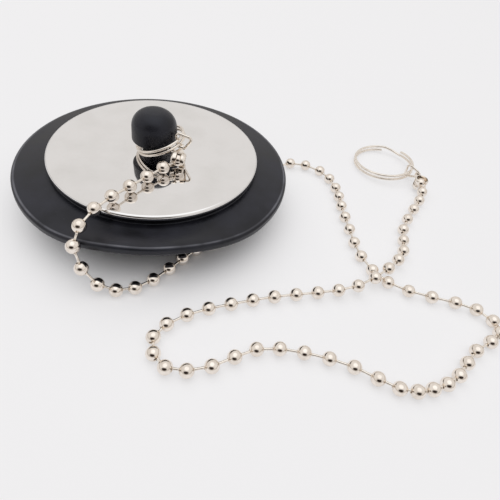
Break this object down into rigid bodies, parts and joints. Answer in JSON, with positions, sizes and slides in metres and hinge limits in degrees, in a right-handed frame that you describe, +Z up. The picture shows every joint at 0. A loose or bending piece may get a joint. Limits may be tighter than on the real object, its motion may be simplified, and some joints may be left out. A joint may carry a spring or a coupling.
{
  "type": "drain stopper",
  "caption": "Round rubber drain plug with a wide flange, a mirror steel cover and a pull knob, on a ball chain that runs from a split ring at the neck to a larger split ring.",
  "frame": {"origin": "centre of the spigot's open end, on the surface that the plug stands on", "axes": "+Z up along the plug's axis, +X to the picture's right along the table, +Y away from the camera"},
  "size_m": [0.1261, 0.0994, 0.026],
  "materials": {
    "rubber": "satin black moulded rubber",
    "cover_steel": "mirror polished pressed sheet",
    "wire_steel": "bright nickel plated wire and strap",
    "chain_steel": "bright nickel plated chain"
  },
  "bodies": {
    "stopper": {"rubber_stopper": "rubber", "neck_clip": "wire_steel", "chain_balls_over_cover": "chain_steel", "chain_links_over_cover": "chain_steel", "chain_balls_over_rim": "chain_steel", "chain_links_over_rim": "chain_steel", "chain_balls_under_flange": "chain_steel", "chain_links_under_flange": "chain_steel", "chain_balls_back_run": "chain_steel", "chain_links_back_run": "chain_steel", "chain_balls_right_loop": "chain_steel", "chain_links_right_loop": "chain_steel", "chain_balls_near_run": "chain_steel", "chain_links_near_run": "chain_steel", "chain_balls_left_loop": "chain_steel", "chain_links_left_loop": "chain_steel", "chain_balls_return_run": "chain_steel", "chain_links_return_run": "chain_steel", "chain_balls_end_run": "chain_steel", "chain_links_end_run": "chain_steel"},
    "cover": {"steel_cover": "cover_steel"},
    "neck_ring": {"neck_split_ring": "wire_steel"},
    "neck_link": {"neck_triangle": "wire_steel"},
    "end_clip_body": {"end_clip": "wire_steel"},
    "end_link": {"end_triangle": "wire_steel"},
    "end_ring": {"end_split_ring": "wire_steel"}
  },
  "joints": [
    {"name": "cover_turn", "type": "hinge", "parent": "stopper", "child": "cover", "pos_m": [0, 0, 0.0147], "axis": [0, 0, 1], "continuous": true},
    {"name": "neck_ring_turn", "type": "hinge", "parent": "stopper", "child": "neck_ring", "pos_m": [0.00164, -0.00021, 0.01815], "axis": [-0.3633, 0, 0.9317], "continuous": true},
    {"name": "neck_link_swing", "type": "hinge", "parent": "stopper", "child": "neck_link", "pos_m": [0.00734, -0.00192, 0.01814], "axis": [0.9786, -0.0702, -0.1936], "range_deg": [-8, 8]},
    {"name": "end_clip_swing", "type": "hinge", "parent": "stopper", "child": "end_clip_body", "pos_m": [0.07848, 0.02376, 0.00272], "axis": [0, 0, 1], "range_deg": [-12, 12]},
    {"name": "end_link_swing", "type": "hinge", "parent": "end_clip_body", "child": "end_link", "pos_m": [0.07832, 0.02846, 0.00272], "axis": [0, 0, 1], "range_deg": [-54, 34]},
    {"name": "end_ring_turn", "type": "hinge", "parent": "end_link", "child": "end_ring", "pos_m": [0.0679, 0.034, 0.00187], "axis": [-0.077, 0.0409, 0.9962], "continuous": true}
  ]
}
